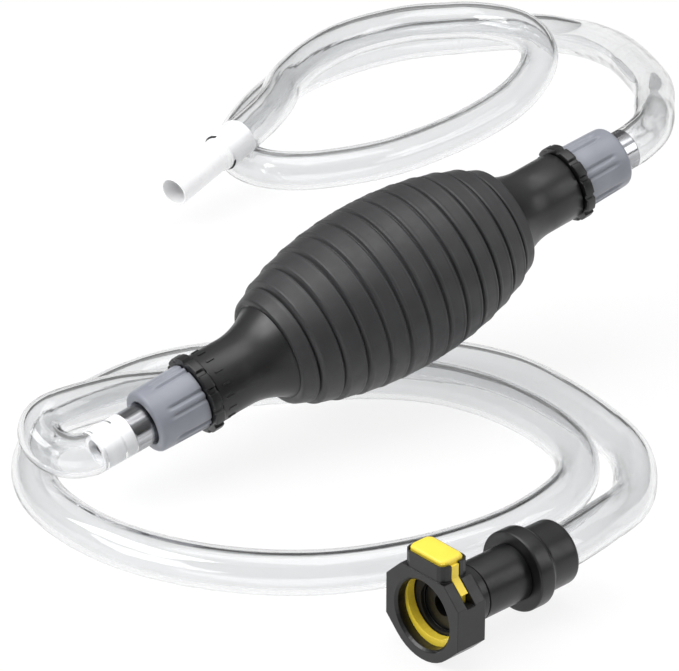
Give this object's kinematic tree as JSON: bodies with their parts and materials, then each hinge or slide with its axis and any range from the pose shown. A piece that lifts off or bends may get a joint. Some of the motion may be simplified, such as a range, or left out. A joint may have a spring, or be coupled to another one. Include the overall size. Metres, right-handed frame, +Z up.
{
  "type": "gravel vacuum siphon",
  "caption": "Ribbed rubber squeeze bulb with a clear hose at each end, one ending in a quick coupling with a latch and the other in a plain outlet nozzle.",
  "frame": {"origin": "on the surface the siphon lies on, under the middle of the box around the bulb, its nuts and the coupling", "axes": "+X along the bulb from its suction end towards its discharge end, +Z up; the coupling is on the -Y side"},
  "size_m": [0.4116, 0.4226, 0.0848],
  "materials": {
    "black_plastic": "satin moulded",
    "black_rubber": "matte moulded",
    "grey_plastic": "satin moulded",
    "plated_steel": "polished",
    "white_plastic": "satin moulded",
    "valve_ball": "smooth",
    "seal_rubber": "matte",
    "clear_hose": "clear soft PVC",
    "yellow_plastic": "satin moulded"
  },
  "bodies": {
    "pump": {"squeeze_bulb": "black_rubber", "suction_neck_fitting": "black_plastic", "suction_sealing_washer": "seal_rubber", "suction_hose_stem": "plated_steel", "suction_valve_body": "white_plastic", "suction_valve_cage": "white_plastic", "suction_hose_cuff": "clear_hose", "suction_hose": "clear_hose", "discharge_neck_fitting": "black_plastic", "discharge_sealing_washer": "seal_rubber", "discharge_hose_stem": "plated_steel", "discharge_valve_body": "white_plastic", "discharge_valve_cage": "white_plastic", "discharge_hose_cuff": "clear_hose", "discharge_hose": "clear_hose", "coupling_head": "black_plastic", "coupling_latch_spring": "plated_steel", "coupling_barrel": "black_plastic", "coupling_seal": "seal_rubber", "coupling_hose_cuff": "clear_hose", "outlet_nozzle": "white_plastic", "nozzle_hose_cuff": "clear_hose"},
    "suction_grip": {"suction_grip_ring": "white_plastic"},
    "suction_nut": {"suction_cap_nut": "grey_plastic"},
    "discharge_grip": {"discharge_grip_ring": "white_plastic"},
    "discharge_nut": {"discharge_cap_nut": "grey_plastic"},
    "coupling_grip": {"coupling_grip_ring": "white_plastic"},
    "coupling_nut": {"coupling_hose_nut": "black_plastic"},
    "latch": {"coupling_latch_plate": "yellow_plastic"},
    "suction_ball": {"suction_valve_ball": "valve_ball"},
    "discharge_ball": {"discharge_valve_ball": "valve_ball"}
  },
  "joints": [
    {"name": "suction_nut_travel", "type": "slide", "parent": "pump", "child": "suction_grip", "axis": [-0.9781, 0, -0.2079], "range_m": [0, 0.0045]},
    {"name": "suction_nut_turn", "type": "hinge", "parent": "suction_grip", "child": "suction_nut", "pos_m": [-0.09101, 0.0669, 0.02871], "axis": [-0.9781, 0, -0.2079], "range_deg": [0, 540]},
    {"name": "suction_ball_lift", "type": "slide", "parent": "pump", "child": "suction_ball", "axis": [0.9781, 0, 0.2079], "range_m": [0, 0.0015]},
    {"name": "discharge_nut_travel", "type": "slide", "parent": "pump", "child": "discharge_grip", "axis": [0.9781, 0, 0.2079], "range_m": [0, 0.0045]},
    {"name": "discharge_nut_turn", "type": "hinge", "parent": "discharge_grip", "child": "discharge_nut", "pos_m": [0.10461, 0.0669, 0.07029], "axis": [0.9781, 0, 0.2079], "range_deg": [0, 540]},
    {"name": "discharge_ball_lift", "type": "slide", "parent": "pump", "child": "discharge_ball", "axis": [0.9781, 0, 0.2079], "range_m": [0, 0.0015]},
    {"name": "coupling_nut_travel", "type": "slide", "parent": "pump", "child": "coupling_grip", "axis": [0.9945, 0.1045, 0], "range_m": [0, 0.0012]},
    {"name": "coupling_nut_turn", "type": "hinge", "parent": "coupling_grip", "child": "coupling_nut", "pos_m": [-0.04096, -0.07738, 0.017], "axis": [0.9945, 0.1045, 0], "range_deg": [0, 288]},
    {"name": "latch_press", "type": "slide", "parent": "pump", "child": "latch", "axis": [0, 0, -1], "range_m": [0, 0.0024], "stiffness_N_per_m": 350, "springref_m": -0.004, "deforming": ["coupling_latch_spring"]}
  ],
  "couplings": [
    {"joint": "suction_nut_travel", "follows": "suction_nut_turn", "m_per_rad": 0.00047746},
    {"joint": "discharge_nut_travel", "follows": "discharge_nut_turn", "m_per_rad": 0.00047746},
    {"joint": "coupling_nut_travel", "follows": "coupling_nut_turn", "m_per_rad": 0.00023873}
  ]
}
